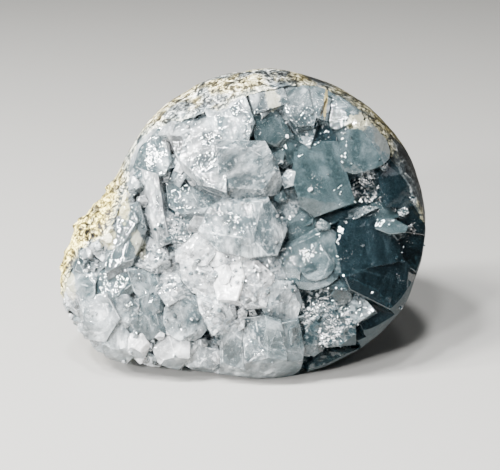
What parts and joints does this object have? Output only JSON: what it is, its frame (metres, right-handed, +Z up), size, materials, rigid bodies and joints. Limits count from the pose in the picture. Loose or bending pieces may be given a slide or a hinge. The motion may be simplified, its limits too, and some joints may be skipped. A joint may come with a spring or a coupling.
{
  "type": "celestite geode",
  "caption": "Rounded half geode of celestite that stands on a small flat spot, with an open face full of blocky pale blue crystals.",
  "frame": {"origin": "middle of the overall box in plan, on the plane that the flat spot rests on", "axes": "+X to the right along the longest extent, seen from in front of the crystals; +Y to the back; the open face looks along -Y and leans back; +Z up"},
  "size_m": [0.123, 0.0768, 0.0978],
  "materials": {
    "rind_stone": "ground smooth on the dome, rough and pitted on the left lobe",
    "celestite_crystal": "glassy crystal faces, milky white to clear blue"
  },
  "bodies": {
    "root": {"rind": "rind_stone", "crystal_crust": "celestite_crystal"}
  },
  "joints": []
}
